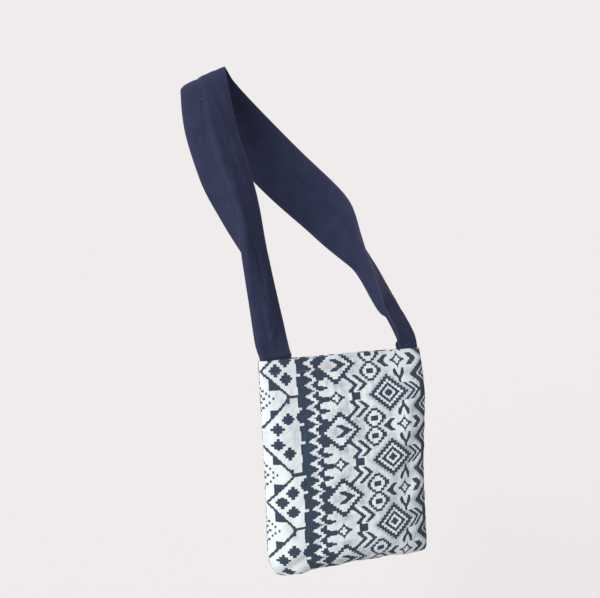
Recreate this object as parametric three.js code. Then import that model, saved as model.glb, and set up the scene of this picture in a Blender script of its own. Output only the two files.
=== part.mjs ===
// Cotton sling bag, worn across the body: a flat printed pouch and one wide shoulder strap.
// Millimetres. X runs along the pouch's width, +Y from its front panel to its back panel, +Z up.
// The origin is where the strap's underside rests on the wearer's shoulder.
import * as THREE from "three";

// Pouch
const pouchWidth = 305; // side seam to side seam
const pouchHeight = 361; // mouth to bottom seam
const pouchPlace = { x: 148, y: -207, mouthZ: -493 }; // middle of the mouth
const mouthDepth = 8.5; // each panel's distance from the seams' plane at the mouth
const panelWall = 1.4; // printed cotton
const hemWall = 2.4; // the mouth's turned hem, two layers
const hemDepth = 24;
const hemFade = 6; // the hem thins to one layer over this drop
const seamGap = 0.3; // between the edges of the two panels

// Strap
const strapWall = 1.5; // navy cotton
const strapSewnIn = 34; // length of each end inside the mouth
const strapAbove = 5; // the fold keeps its shape this far above the mouth
const endFold = { fold: 180, bend: 4.4, frontBow: 0.5, backBow: 0.5 };
const endPlace = { left: -148.5, right: 151 }; // of the crease at the mouth, from its middle
const endLean = { left: -0.11, right: -0.05 }; // sideways step of the crease to each step up
const leftArms = { front: 57, back: 50 };
const rightArms = { front: 41, back: 41 };
const wearerTurn = THREE.MathUtils.degToRad(-25.5); // from the pouch's axes to the wearer's

// Facets
const panelColumns = 26;
const rowsBetween = 2; // grid rows to each row of the pouch table
const strapStep = 21; // longest facet along the strap
const armSteps = 5;
const creaseSteps = 4;

const printedCotton = new THREE.MeshStandardMaterial({ color: 0xd9dde2, roughness: 0.92, metalness: 0 });
const navyCotton = new THREE.MeshStandardMaterial({ color: 0x2c2f4f, roughness: 0.95, metalness: 0 });

// The pouch from its mouth down. drop: below the mouth, as a share of the height; left, right: how far
// each side seam is drawn in; front, back: bulge of each panel at its middle; square: how boxy the section is.
const pouchRows = [
  { drop: 0, left: 0, right: -2.5, front: mouthDepth, back: mouthDepth, square: 30 },
  { drop: 0.04, left: 0, right: -5, front: 8.6, back: 8.6, square: 28 },
  { drop: 0.11, left: 0, right: -8.5, front: 10, back: 9.5, square: 16 },
  { drop: 0.24, left: 0.5, right: -12, front: 15, back: 12.5, square: 5 },
  { drop: 0.39, left: 1.5, right: -9, front: 20, back: 15.5, square: 3 },
  { drop: 0.56, left: 2.5, right: -5, front: 24, back: 18, square: 2.6 },
  { drop: 0.72, left: 3, right: -4.5, front: 27, back: 20, square: 2.6 },
  { drop: 0.84, left: 2.5, right: -5, front: 27, back: 20, square: 2.8 },
  { drop: 0.926, left: 3, right: -6, front: 22.5, back: 17.5, square: 3 },
  { drop: 0.971, left: 6, right: -6, front: 14.5, back: 12, square: 3.4 },
  { drop: 0.992, left: 11, right: -4, front: 7.5, back: 6.5, square: 4 },
  { drop: 1, left: 17, right: 0, front: 0, back: 0, square: 4 },
];

// Where the bottom seam hangs lower: x from the middle, half-breadth, and fall.
const bottomSags = [
  { name: "left_corner", x: -100, breadth: 34, fall: 5 },
  { name: "right_corner", x: 128, breadth: 46, fall: 2.5 },
];

// Soft folds of the panels. x: from the middle; drop: below the mouth; lean: of the fold's run
// from the level; run, breadth: half-lengths along and across it; rise: out of the panel.
const frontFolds = [
  { name: "left_corner_tuck", x: -96, drop: 330, lean: 38, run: 42, breadth: 13, rise: -7 },
  { name: "left_corner_puff", x: -128, drop: 326, lean: 50, run: 34, breadth: 15, rise: 5 },
  { name: "right_side_dent", x: 126, drop: 205, lean: 90, run: 44, breadth: 16, rise: -4 },
  { name: "right_side_swell", x: 124, drop: 112, lean: 90, run: 40, breadth: 18, rise: 3.5 },
  { name: "left_pull", x: -92, drop: 122, lean: -62, run: 90, breadth: 26, rise: -3.5 },
  { name: "right_pull", x: 66, drop: 150, lean: 58, run: 100, breadth: 28, rise: -3 },
  { name: "bottom_sag", x: 30, drop: 318, lean: 4, run: 90, breadth: 16, rise: 3 },
];
const backFolds = [
  { name: "hip_dent", x: 20, drop: 190, lean: 80, run: 110, breadth: 48, rise: -6 },
  { name: "left_corner_puff", x: -120, drop: 322, lean: 45, run: 36, breadth: 16, rise: 4 },
  { name: "right_corner_tuck", x: 104, drop: 326, lean: -40, run: 40, breadth: 14, rise: -4 },
];

// The strap's crease as it is worn, from above the pouch's left end to above its right end, in the wearer's
// axes: its place and the way it points out, then how the strap is folded there.
const wornCrease = [
  { name: "above_left_end", x: 80, y: -180, z: -462, outX: -0.92, outY: -0.4, outZ: 0 },
  { name: "lower_belly", x: 72.5, y: -161, z: -394.5, outX: -0.86, outY: -0.5, outZ: 0 },
  { name: "waist", x: 65.5, y: -143, z: -328, outX: -0.6, outY: -0.8, outZ: 0 },
  { name: "under_bust", x: 62, y: -126, z: -247, outX: 0.05, outY: -0.99, outZ: 0 },
  { name: "bust", x: 40, y: -109, z: -170, outX: 0.27, outY: -0.95, outZ: 0.15 },
  { name: "upper_chest", x: 18, y: -84, z: -96, outX: 0.16, outY: -0.9, outZ: 0.42 },
  { name: "front_of_shoulder", x: 5, y: -42, z: -28, outX: -0.12, outY: -0.66, outZ: 0.74 },
  { name: "shoulder", x: 0, y: 0, z: 0.8, outX: -0.42, outY: 0, outZ: 0.9 },
  { name: "behind_shoulder", x: 12, y: 40, z: -22, outX: -0.16, outY: 0.62, outZ: 0.76 },
  { name: "shoulder_blade", x: 58, y: 86, z: -84, outX: -0.05, outY: 0.95, outZ: 0.3 },
  { name: "middle_back", x: 138, y: 104, z: -172, outX: 0.08, outY: 0.99, outZ: 0.05 },
  { name: "back_waist", x: 222, y: 84, z: -252, outX: 0.48, outY: 0.87, outZ: 0 },
  { name: "left_waist", x: 279, y: 32, z: -320, outX: 0.98, outY: 0.19, outZ: 0 },
  { name: "left_hip", x: 323, y: -22, z: -402, outX: 0.99, outY: 0.12, outZ: 0 },
  { name: "below_hip", x: 337, y: -36, z: -430, outX: 1, outY: 0.04, outZ: 0 },
  { name: "above_right_end", x: 355, y: -54, z: -468, outX: 0.98, outY: 0.2, outZ: 0 },
];

// fold: 0 flat, 180 doubled; bend: radius of the crease; front, back: width of the arm beside each
// panel; frontBow, backBow: how far each arm bows out of its flat.
const wornFold = {
  above_left_end: { fold: 172, bend: 4, front: 56, back: 50, frontBow: 0.5, backBow: 0.5 },
  lower_belly: { fold: 166, bend: 3, front: 55, back: 50, frontBow: 1.5, backBow: -1 },
  waist: { fold: 144, bend: 3, front: 53, back: 50, frontBow: -2, backBow: -2 },
  under_bust: { fold: 92, bend: 4, front: 52, back: 48, frontBow: -4, backBow: 2 },
  bust: { fold: 46, bend: 7, front: 51, back: 48, frontBow: -6, backBow: 4 },
  upper_chest: { fold: 26, bend: 12, front: 49, back: 47, frontBow: -6, backBow: 4 },
  front_of_shoulder: { fold: 14, bend: 18, front: 44, back: 43, frontBow: -3, backBow: 5 },
  shoulder: { fold: 10, bend: 24, front: 42, back: 43, frontBow: 2, backBow: 5 },
  behind_shoulder: { fold: 10, bend: 24, front: 46, back: 47, frontBow: -3, backBow: 3 },
  shoulder_blade: { fold: 12, bend: 20, front: 50, back: 51, frontBow: -3, backBow: 2 },
  middle_back: { fold: 14, bend: 16, front: 51, back: 53, frontBow: -2, backBow: 2 },
  back_waist: { fold: 24, bend: 12, front: 50, back: 54, frontBow: -2, backBow: 1 },
  left_waist: { fold: 40, bend: 8, front: 49, back: 54, frontBow: -2, backBow: 0 },
  left_hip: { fold: 83, bend: 5, front: 46, back: 46, frontBow: -1, backBow: 4 },
  below_hip: { fold: 92, bend: 4, front: 44, back: 38, frontBow: 0, backBow: 6 },
  above_right_end: { fold: 126, bend: 4, front: 42, back: 34, frontBow: 0, backBow: 4 },
};

// Smooth reading of a table: reader(t) gives every column at t from 0, the first row, to 1, the last.
function tableReader(rows) {
  const columns = Object.keys(rows[0]).filter((key) => typeof rows[0][key] === "number");
  const curves = columns.map((key) => smoothLine(rows.map((row) => new THREE.Vector3(row[key], 0, 0))));
  return (t) => Object.fromEntries(columns.map((key, i) => [key, curves[i].getPoint(t).x]));
}

function smoothLine(points) {
  const line = new THREE.CatmullRomCurve3(points, false, "catmullrom", 0.5);
  line.arcLengthDivisions = 1200;
  return line;
}

// One closed sheet between an outer and an inner grid of points, with its four rims.
function sheetSolid(outer, inner) {
  const lastRow = outer.length - 1;
  const lastColumn = outer[0].length - 1;
  const outerAt = (r, c) => r * outer[0].length + c;
  const innerAt = (r, c) => outer.length * outer[0].length + outerAt(r, c);
  const faces = [];
  const quad = (a, b, c, d) => faces.push(a, b, c, a, c, d);
  for (let r = 0; r < lastRow; r++) {
    for (let c = 0; c < lastColumn; c++) {
      quad(outerAt(r, c), outerAt(r + 1, c), outerAt(r + 1, c + 1), outerAt(r, c + 1));
      quad(innerAt(r, c), innerAt(r, c + 1), innerAt(r + 1, c + 1), innerAt(r + 1, c));
    }
    quad(outerAt(r, 0), innerAt(r, 0), innerAt(r + 1, 0), outerAt(r + 1, 0));
    quad(outerAt(r, lastColumn), outerAt(r + 1, lastColumn), innerAt(r + 1, lastColumn), innerAt(r, lastColumn));
  }
  for (let c = 0; c < lastColumn; c++) {
    quad(outerAt(0, c), outerAt(0, c + 1), innerAt(0, c + 1), innerAt(0, c));
    quad(outerAt(lastRow, c), innerAt(lastRow, c), innerAt(lastRow, c + 1), outerAt(lastRow, c + 1));
  }
  const places = [...outer.flat(), ...inner.flat()].flatMap((p) => [p.x, p.y, p.z]);
  const geometry = new THREE.BufferGeometry();
  geometry.setAttribute("position", new THREE.Float32BufferAttribute(places, 3));
  geometry.setIndex(faces);
  geometry.computeVertexNormals();
  return geometry;
}

function namedMesh(name, geometry, material) {
  const mesh = new THREE.Mesh(geometry, material);
  mesh.name = name;
  return mesh;
}

// How far the folds lift a panel at x from the middle and at a drop below the mouth.
function foldLift(folds, x, drop) {
  let lift = 0;
  for (const fold of folds) {
    const lean = THREE.MathUtils.degToRad(fold.lean);
    const dx = x - fold.x;
    const down = drop - fold.drop;
    const along = (dx * Math.cos(lean) + down * Math.sin(lean)) / fold.run;
    const across = (down * Math.cos(lean) - dx * Math.sin(lean)) / fold.breadth;
    lift += fold.rise * Math.exp(-(along * along) - across * across);
  }
  return lift;
}

const readPouch = tableReader(pouchRows);

// A point on a panel's outside: u from -1, the left seam, to 1; t from 0, the mouth, to 1, the bottom seam.
function panelPoint(side, folds, u, t) {
  const row = readPouch(t);
  const drop = row.drop * pouchHeight;
  const bulge = Math.max(0, side < 0 ? row.front : row.back);
  const across = Math.sin((u * Math.PI) / 2);
  const leftX = row.left - pouchWidth / 2;
  const rightX = pouchWidth / 2 - row.right;
  const x = (leftX + rightX) / 2 + (across * (rightX - leftX)) / 2;
  const crown = Math.sqrt(Math.max(0, 1 - Math.abs(across) ** row.square));
  const ease = Math.min(1, drop / hemDepth, bulge / mouthDepth) * crown;
  const depth = bulge * crown + foldLift(folds, x, drop) * ease + seamGap / 2;
  const sag = bottomSags.reduce((sum, low) => sum + low.fall * Math.exp(-(((x - low.x) / low.breadth) ** 2)), 0);
  const z = pouchPlace.mouthZ - drop - sag * row.drop ** 6;
  return new THREE.Vector3(pouchPlace.x + x, pouchPlace.y + side * depth, z);
}

// The way into the cloth there. Seam edges keep to the seams' plane and the mouth to its level.
function panelInward(side, folds, u, t) {
  const step = 1e-3;
  const uAt = THREE.MathUtils.clamp(u, step - 1, 1 - step);
  const tAt = THREE.MathUtils.clamp(t, step, 1 - step);
  const across = panelPoint(side, folds, uAt + step, tAt).sub(panelPoint(side, folds, uAt - step, tAt));
  const down = panelPoint(side, folds, uAt, tAt + step).sub(panelPoint(side, folds, uAt, tAt - step));
  const way = across.cross(down).multiplyScalar(-side);
  if (Math.abs(u) === 1 || t === 1) way.y = 0;
  if (t === 0) way.z = 0;
  return way.normalize();
}

// side is -1 for the front panel and 1 for the back one.
function panelSheet(side, folds) {
  const gridRows = (pouchRows.length - 1) * rowsBetween;
  const outer = [];
  const inner = [];
  for (let r = 0; r <= gridRows; r++) {
    const t = r / gridRows;
    outer.push([]);
    inner.push([]);
    for (let c = 0; c <= panelColumns; c++) {
      const u = (-side * (2 * c - panelColumns)) / panelColumns;
      const out = panelPoint(side, folds, u, t);
      const hemShare = (hemDepth + hemFade + out.z - pouchPlace.mouthZ) / hemFade;
      const wall = panelWall + (hemWall - panelWall) * THREE.MathUtils.clamp(hemShare, 0, 1);
      const into = out.clone().addScaledVector(panelInward(side, folds, u, t), wall);
      into.y = pouchPlace.y + side * Math.max(seamGap / 2, side * (into.y - pouchPlace.y));
      outer[r].push(out);
      inner[r].push(into);
    }
  }
  return sheetSolid(outer, inner);
}

// Rows of the strap from one sewn end to the other, in the part's axes.
function strapRows() {
  const up = new THREE.Vector3(0, 0, 1);
  const worn = wornCrease.map((row) => {
    const place = new THREE.Vector3(row.x, row.y, row.z).applyAxisAngle(up, wearerTurn);
    const out = new THREE.Vector3(row.outX, row.outY, row.outZ).applyAxisAngle(up, wearerTurn);
    return { x: place.x, y: place.y, z: place.z, outX: out.x, outY: out.y, outZ: out.z, ...wornFold[row.name] };
  });
  const endRow = (end, hand, arms, above) => ({
    x: pouchPlace.x + endPlace[end] + endLean[end] * above,
    y: pouchPlace.y,
    z: pouchPlace.mouthZ + above,
    outX: hand,
    outY: 0,
    outZ: 0,
    ...endFold,
    ...arms,
  });
  const levels = [-strapSewnIn, -strapSewnIn / 2, 0, strapAbove];
  const leftEnd = levels.map((above) => endRow("left", -1, leftArms, above));
  const rightEnd = levels.map((above) => endRow("right", 1, rightArms, above)).reverse();
  return [...leftEnd, ...worn, ...rightEnd];
}

// The strap's section at one row: places along its middle layer, from the front arm's edge round the
// crease to the back arm's edge, each with the way out of the cloth.
function strapSection(row, along) {
  const place = new THREE.Vector3(row.x, row.y, row.z);
  const out = new THREE.Vector3(row.outX, row.outY, row.outZ);
  out.addScaledVector(along, -out.dot(along)).normalize();
  const frontWay = along.clone().cross(out);
  const turn = THREE.MathUtils.degToRad(row.fold) / 2;
  const spot = (outStep, frontStep, angle) => ({
    at: place.clone().addScaledVector(out, outStep).addScaledVector(frontWay, frontStep),
    way: out.clone().multiplyScalar(Math.cos(angle)).addScaledVector(frontWay, Math.sin(angle)),
  });
  const onCrease = (angle) => spot(row.bend * (Math.cos(angle) - 1), row.bend * Math.sin(angle), angle);
  const onArm = (hand, width, bow, share) => {
    const reach = share * (width - row.bend * turn);
    const lift = bow * 6.75 * share * share * (1 - share);
    const outStep = row.bend * (Math.cos(turn) - 1) - reach * Math.sin(turn) + lift * Math.cos(turn);
    const frontStep = row.bend * Math.sin(turn) + reach * Math.cos(turn) + lift * Math.sin(turn);
    return spot(outStep, hand * frontStep, hand * turn);
  };
  const spots = [];
  for (let k = armSteps; k > 0; k--) spots.push(onArm(1, row.front, row.frontBow, k / armSteps));
  for (let k = 0; k <= creaseSteps; k++) spots.push(onCrease(turn * (1 - (2 * k) / creaseSteps)));
  for (let k = 1; k <= armSteps; k++) spots.push(onArm(-1, row.back, row.backBow, k / armSteps));
  return spots;
}

function strapSheet() {
  const rows = strapRows();
  const read = tableReader(rows);
  const places = rows.map((row) => new THREE.Vector3(row.x, row.y, row.z));
  const crease = smoothLine(places);
  const outer = [];
  const inner = [];
  const addSection = (t) => {
    const spots = strapSection(read(t), crease.getTangent(t));
    outer.push(spots.map((spot) => spot.at.clone().addScaledVector(spot.way, strapWall / 2)));
    inner.push(spots.map((spot) => spot.at.clone().addScaledVector(spot.way, -strapWall / 2)));
  };
  addSection(0);
  for (let i = 1; i < rows.length; i++) {
    const steps = Math.ceil(places[i].distanceTo(places[i - 1]) / strapStep);
    for (let k = 1; k <= steps; k++) addSection((i - 1 + k / steps) / (rows.length - 1));
  }
  return sheetSolid(outer, inner);
}

const bag = new THREE.Group();
bag.add(namedMesh("front_panel", panelSheet(-1, frontFolds), printedCotton));
bag.add(namedMesh("back_panel", panelSheet(1, backFolds), printedCotton));
bag.add(namedMesh("strap", strapSheet(), navyCotton));

export default bag;
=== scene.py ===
# Cotton sling bag: a printed pouch of two panels and one wide navy strap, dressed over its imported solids.
import bpy
import math
import numpy as np
from mathutils import Matrix, Vector, noise


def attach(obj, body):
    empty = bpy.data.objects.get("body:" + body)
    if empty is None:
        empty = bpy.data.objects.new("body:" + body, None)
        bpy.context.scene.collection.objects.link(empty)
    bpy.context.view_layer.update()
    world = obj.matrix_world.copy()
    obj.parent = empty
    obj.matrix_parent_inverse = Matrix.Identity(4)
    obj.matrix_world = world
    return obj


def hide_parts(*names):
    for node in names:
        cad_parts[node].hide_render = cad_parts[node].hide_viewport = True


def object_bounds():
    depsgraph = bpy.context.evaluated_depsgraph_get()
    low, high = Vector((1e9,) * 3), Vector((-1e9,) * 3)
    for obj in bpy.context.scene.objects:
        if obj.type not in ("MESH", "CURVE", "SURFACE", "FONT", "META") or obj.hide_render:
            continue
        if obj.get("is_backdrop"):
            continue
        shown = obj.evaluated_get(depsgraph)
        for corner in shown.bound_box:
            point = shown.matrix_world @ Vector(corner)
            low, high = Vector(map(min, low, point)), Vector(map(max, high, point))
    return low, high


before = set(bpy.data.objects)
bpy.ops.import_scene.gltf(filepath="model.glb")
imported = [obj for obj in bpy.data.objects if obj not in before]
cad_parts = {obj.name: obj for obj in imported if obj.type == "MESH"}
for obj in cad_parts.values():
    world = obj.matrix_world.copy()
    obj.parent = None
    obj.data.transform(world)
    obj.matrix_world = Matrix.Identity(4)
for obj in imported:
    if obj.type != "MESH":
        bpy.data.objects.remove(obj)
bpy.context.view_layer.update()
scene = bpy.context.scene
print("frame loaded:", sorted(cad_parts))


def clearSelection():
    if bpy.context.object and bpy.context.object.mode != "OBJECT":
        bpy.ops.object.mode_set(mode="OBJECT")
    bpy.ops.object.select_all(action="DESELECT")


def pick(piece):
    clearSelection()
    piece.select_set(True)
    bpy.context.view_layer.objects.active = piece


def smoothRead(table, t):
    # smooth curve through every row, column by column, t from 0 at the first row to 1 at the last
    last = len(table) - 1
    spot = np.clip(np.asarray(t, float), 0, 1) * last
    i = np.minimum(spot.astype(int), last - 1)
    w = (spot - i)[..., None]
    padded = np.vstack([2 * table[0] - table[1], table, 2 * table[-1] - table[-2]])
    a, b, c, d = padded[i], padded[i + 1], padded[i + 2], padded[i + 3]
    inWay, outWay = 0.5 * (c - a), 0.5 * (d - b)
    cubed = 2 * b - 2 * c + inWay + outWay
    squared = 3 * c - 3 * b - 2 * inWay - outWay
    return cubed * w**3 + squared * w**2 + inWay * w + b


def gridSheet(name, columns, rows):
    # flat grid to start a sheet from
    clearSelection()
    bpy.ops.mesh.primitive_grid_add(x_subdivisions=columns, y_subdivisions=rows, size=1)
    piece = bpy.context.object
    piece.name = piece.data.name = name
    return piece


def sheetOrder(piece, columns, rows):
    # row and column of each point of a flat grid, top row first
    co = np.empty(len(piece.data.vertices) * 3)
    piece.data.vertices.foreach_get("co", co)
    co = co.reshape(-1, 3)
    return np.rint((0.5 - co[:, 1]) * rows).astype(int), np.rint((co[:, 0] + 0.5) * columns).astype(int)


def placeSheet(piece, order, places, cloth):
    # places: row by column points; cloth: the same points on the flat cut, kept as the UV map
    piece.data.vertices.foreach_set("co", places[order].astype(np.float32).ravel())
    loops = np.empty(len(piece.data.loops), int)
    piece.data.loops.foreach_get("vertex_index", loops)
    uv = cloth[order][loops]
    piece.data.uv_layers[0].data.foreach_set("uv", uv.astype(np.float32).ravel())
    piece.data.update()


def sheetNormals(places):
    across, down = np.gradient(places, axis=1), np.gradient(places, axis=0)
    way = np.cross(down, across)
    return way / np.maximum(np.linalg.norm(way, axis=-1, keepdims=True), 1e-12)


def addGroup(piece, name, order, weights):
    group = piece.vertex_groups.new(name=name)
    for index, weight in enumerate(weights[order]):
        group.add([index], float(weight), "REPLACE")


def drape(piece, look):
    # short cloth run about the cut's own shape; no point moves further than the cap
    start = np.empty(len(piece.data.vertices) * 3)
    piece.data.vertices.foreach_get("co", start)
    pick(piece)
    cloth = piece.modifiers.new("drape", "CLOTH")
    how = cloth.settings
    how.quality = look["quality"]
    how.mass = look["mass"]
    how.tension_stiffness = how.compression_stiffness = look["stretch"]
    how.shear_stiffness = look["shear"]
    how.bending_stiffness = look["bend"]
    how.tension_damping = how.compression_damping = how.shear_damping = look["damping"]
    how.bending_damping = look["bendDamping"]
    how.air_damping = look["air"]
    how.shrink_min = -look["slack"]
    how.use_pressure = look["pressure"] > 0
    how.uniform_pressure_force = look["pressure"]
    how.vertex_group_mass = "held"
    how.pin_stiffness = look["hold"]
    how.effector_weights.gravity = look["gravity"]
    cloth.collision_settings.use_collision = False
    cloth.point_cache.frame_start, cloth.point_cache.frame_end = 1, look["frames"]
    for step in range(1, look["frames"] + 1):
        scene.frame_set(step)
    shaped = piece.evaluated_get(bpy.context.evaluated_depsgraph_get()).to_mesh()
    end = np.empty(len(shaped.vertices) * 3)
    shaped.vertices.foreach_get("co", end)
    piece.to_mesh_clear()
    move = (end - start).reshape(-1, 3)
    far = np.linalg.norm(move, axis=1, keepdims=True)
    print(piece.name, "draped, furthest move", round(float(far.max()) * 1000, 2), "mm")
    move *= look["cap"] * np.tanh(far / look["cap"]) / np.maximum(far, 1e-9)
    piece.modifiers.remove(cloth)
    scene.frame_set(1)
    return start.reshape(-1, 3) + move


def finishModifiers(piece):
    pick(piece)
    for modifier in list(piece.modifiers):
        bpy.ops.object.modifier_apply(modifier=modifier.name)


# camera, at the height and turn of the photograph
camera = dict(place=(-0.78628, -2.01734, -0.27853), right=(0.901202, -0.431711, -0.038216),
              up=(0.059434, 0.035761, 0.997591), back=(-0.429305, -0.901303, 0.057886), lens=72)

bpy.ops.object.camera_add(location=camera["place"])
eye = bpy.context.object
eye.name = "bagCamera"
eye.data.lens = camera["lens"]
eye.data.sensor_width = 36
eye.data.clip_end = 200
turned = Matrix((camera["right"], camera["up"], camera["back"])).transposed().to_4x4()
eye.matrix_world = Matrix.Translation(camera["place"]) @ turned
scene.camera = eye
print("camera set")


# chart of the print, in print steps across from the left seam and rows down from the mouth
chart = dict(
    columns=64, rows=87,  # on one panel
    lead=0.5,  # rows lost above the mouth
    repeat=26, diamondAt=4.5,  # rows in the repeat, and the row of the first chevron diamond
    leftRepeat=50.7, leftAt=4.5,  # the same for the white band at the left
    mirrorAt=63.5,  # the print turns back at the right seam
    threadSeed=11, threadHaze=(0.45, 1.45),  # how unevenly the threads take the grey haze
    # navy band: its left edge, a row each from a cloud's middle down
    edge=(13.3, 13.3, 14.7, 13.7, 12.7, 12.4, 12.6, 13.3, 14.9, 13.3, 13.3, 13.7, 13.7,
          13.7, 13.7, 15, 13.3, 13.3, 13.3, 13.3, 13.7, 13.7, 13.7, 13.3, 13.3, 13.3),
    # and its scalloped right edge: rows off a cloud's middle, steps across
    rim=((0, 26), (0.5, 26), (0.6, 23.7), (1, 22.2), (1.5, 21.4), (2.5, 21.2), (3.2, 21.6), (3.8, 22.8),
         (4.5, 24.2), (5.1, 22.6), (5.6, 21.5), (6.5, 21.3), (7.2, 21.8), (7.8, 23.2), (8.3, 24.6),
         (9, 26), (13, 28)),
    # white band, by steps across: crosses with rows off its middle, dots with rows off the lines' point
    crosses=((6, 0), (9.7, 3.6), (5.5, 22.4), (9.3, 18.8)),
    dots=((4.6, 0), (3.35, 1.2), (2.25, 2.3), (1.15, 3.4), (0.2, 4.4), (1.55, 0), (0.45, 1.2)),
    # rings of the paired diamonds: rows off their middle, outer and inner half-width
    rings=((0.5, 4.2, 2.7), (1.5, 3.4, 2), (2.5, 2.4, 0.9), (3.5, 1.3, 0)),
)


def chartPrint(across, down):
    # returns ink 0 to 1 and the grey haze printed beside it
    # stepped shapes are read in whole print steps, and fine lines in parts of one
    half, leftHalf = chart["repeat"] / 2, chart["leftRepeat"] / 2

    def fold(spot):
        return np.abs((spot + chart["mirrorAt"]) % (2 * chart["mirrorAt"]) - chart["mirrorAt"])

    def fromRow(spot, at, reach):
        return np.abs((spot - at + reach) % (2 * reach) - reach)

    x, y = fold(np.floor(across) + 0.5), np.floor(down) + 0.5
    a = fromRow(y, chart["diamondAt"], half)  # rows from a chevron diamond's middle
    b = half - a  # rows from a cloud's middle
    fx = fold(across)  # the same three, not in whole steps
    fa = fromRow(down, chart["diamondAt"], half)
    fb = half - fa
    fm = fromRow(down, chart["leftAt"], leftHalf)  # rows from the white band's three crosses
    below = (down - chart["diamondAt"] - half) % chart["repeat"]  # rows below a cloud's middle
    ink = np.zeros(x.shape)
    haze = np.zeros(x.shape)

    def put(where, value=1.0):
        ink[where] = value

    def between(start, end):
        return (fx > start) & (fx < end)

    def line(off, points, thick):
        # line through points of (across, rows off the middle)
        xs = np.interp(off, [p[1] for p in points], [p[0] for p in points])
        return (np.abs(fx - xs) <= thick / 2) & (off >= points[0][1]) & (off <= points[-1][1])

    def star(middle, off, wide, high):
        # four points round a small white cross
        dx = np.abs(fx - middle)
        put((dx / wide) ** 0.66 + (off / high) ** 0.66 < 1)
        put((dx < 1.3) & (off < 0.5) | (dx < 0.55) & (off < 1.3), 0)

    def smudge(middle, off, wide, high, strength):
        np.maximum(haze, strength * np.exp(-((fx - middle) / wide) ** 2 - (off / high) ** 2), out=haze)

    def halo(middle, off, size, reach, strength):
        # haze round the outside of a diamond
        beyond = np.abs(fx - middle) + np.abs(off) - size
        np.maximum(haze, np.where(beyond > 0, strength * np.exp(-((beyond / reach) ** 2)), 0), out=haze)

    def whiteBand():
        # crosses between lines that run to points, with dots and darts at the edge
        put((x < 14) & (line(fm, [(0.8, 0), (10.1, 9.9)], 1.3) | line(fm, [(10.1, 10.9), (0.3, 22)], 1.3)))
        put(between(3.3, 8) & (fm > (fx - 0.8) * 1.06) & (fm < 7.4))
        put(between(3.2, 8) & (fm > 14.8) & (fm < 10.9 + (10.1 - fx) * 1.13))
        put(between(9.6, 14) & (np.abs(fm - 10.4) < 0.6))
        put(between(9.2, 10.5) & (fm > 10) & (fm < 12.8))
        for crossX, crossM in chart["crosses"]:
            dx, dm = np.abs(fx - crossX), np.abs(fm - crossM)
            put((dx < 2.4) & (dm < 0.55) | (dx < 0.6) & (dm < 2.4) | (dx < 1.6) & (dm < 1.5))
        for dotX, dotM in chart["dots"]:
            put((np.abs(fx - dotX) < 0.4) & (np.abs(np.abs(fm - 10.7) - dotM) < 0.5), 0.95)
        smudge(0.8, fm - 24, 1.4, 1.8, 0.3)
        smudge(12.2, fm - 24, 2.2, 3.6, 0.26)
        smudge(9, fm - 12.4, 1.6, 1.6, 0.24)

    def navyBand():
        # stepped at the left, scalloped at the right, with the white zigzag down it
        edge, rim = np.array(chart["edge"]), np.array(chart["rim"])
        leftEdge = edge[np.minimum(below, chart["repeat"] - 1).astype(int)]
        put((fx > leftEdge) & (fx < np.interp(b, rim[:, 0], rim[:, 1])))
        put(between(22, 24.6) & (np.abs(fb - 4.5) < 0.5) | between(20, 25) & (fb < 1))
        halfRow = np.floor(below * 2) / 2
        swing = np.interp((halfRow + 2.1) % (chart["repeat"] / 6), [0, 2.45, 4.34], [0, 1, 0])
        jog = 0.3 * (np.floor(down * 2) % 2)
        put(np.abs(fx - 17.3 - 3 * swing - jog) < 1.25 - 0.6 * swing, 0)
        smudge(18, below - 3, 1.4, 1.6, 0.35)
        smudge(18, below - 14, 1.4, 1.6, 0.3)
        smudge(18.4, below - 22, 1.4, 1.6, 0.35)

    def diamondsAndClouds():
        # a chevron in each diamond, and a star in each four-lobed cloud between
        put(np.abs(x - 28) * 0.9 + a < 7.51)
        put(np.abs(x - 28) * 0.9 + a < 5.51, 0)
        put((fa < 2.6) & (fx > np.maximum(29.5 - 1.6 * fa, 26.4)) & (fx < 32.6 - 1.6 * fa))
        smudge(25.6, fa - 0.5, 2.2, 1.5, 0.4)
        smudge(30.4, fa - 2.6, 1.2, 0.9, 0.4)
        star(27.4, fb, 4.5, 3.3)
        smudge(29, fb - 5, 3, 1.5, 0.5)
        smudge(25, fb - 6.6, 1.5, 1.1, 0.36)
        smudge(31, fb - 2.4, 1.6, 1.7, 0.26)

    def doubleChevrons():
        # and the block that they spring from
        put(between(33.2, 36.8) & (b < 1.5) | between(32.2, 34.4) & (np.abs(b - 2) < 0.3))
        inner = line(fb, [(33, 2), (35.3, 4.5), (31, 8.5)], 1.8)
        outer = line(fb, [(36.3, 2), (39, 4.5), (34.9, 8.5)], 1.8)
        put(inner | outer)
        smudge(34.4, fa - 3, 2.4, 1.4, 0.5)
        smudge(36.6, fa - 0.8, 1.2, 1.8, 0.4)

    def ringPairs():
        # ringed diamonds in pairs, one above the other
        middle, middleRow = 41.4, 3.5
        off, ring = np.abs(fx - middle), np.abs(a - middleRow)
        for row, outer, inner in chart["rings"]:
            put((np.abs(ring - row) < 0.3) & (off < outer) & (off > inner) & (a < 7.3))
        put((off < 1.6 - 0.5 * ring) & (np.abs(fa - middleRow) < 1.1))
        halo(middle, fa - middleRow, 4.4, 1.2, 0.42)

    def largeDiamonds():
        # ring in ring
        middle = 47.5
        halo(middle, fb, 7.4, 1.6, 0.55)
        steps, fine = np.abs(x - middle) + b, np.abs(fx - middle) + fb
        put(steps < 7.3)
        put(steps < 5.3, 0)
        put((fine > 2.9) & (fine < 4.3) | (fine < 1.75))

    def starsAndDarts():
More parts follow.
